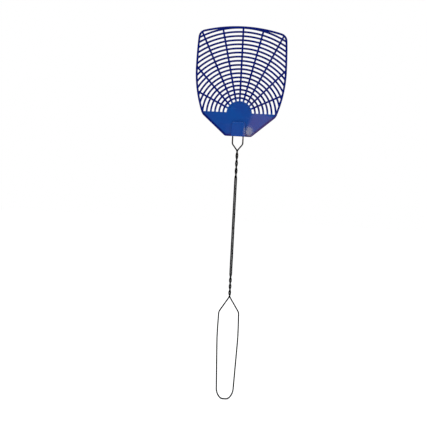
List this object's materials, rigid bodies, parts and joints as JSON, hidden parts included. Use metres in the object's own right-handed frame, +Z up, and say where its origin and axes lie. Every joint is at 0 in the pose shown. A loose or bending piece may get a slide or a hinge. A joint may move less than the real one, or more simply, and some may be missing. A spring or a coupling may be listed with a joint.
{
  "type": "fly swatter",
  "caption": "Long-handled fly swatter: a flat moulded plastic net head with a socket, pushed onto the prongs of a twisted wire handle that ends in a long grip loop.",
  "frame": {"origin": "directly under the middle of the swatter, at the lowest point of the grip loop", "axes": "+Z up the handle towards the head, -Y out of the side of the head that carries the socket, +X to the right seen from that side"},
  "size_m": [0.1174, 0.0043, 0.481],
  "materials": {
    "head_plastic": "smooth injection-moulded, glossy",
    "handle_wire": "drawn steel wire, dark and lightly polished"
  },
  "bodies": {
    "handle": {"wire_handle": "handle_wire"},
    "head": {"swatter_head": "head_plastic"}
  },
  "joints": [
    {"name": "head_pull_off", "type": "slide", "parent": "handle", "child": "head", "axis": [0, 0, 1], "range_m": [0, 0.016]}
  ]
}
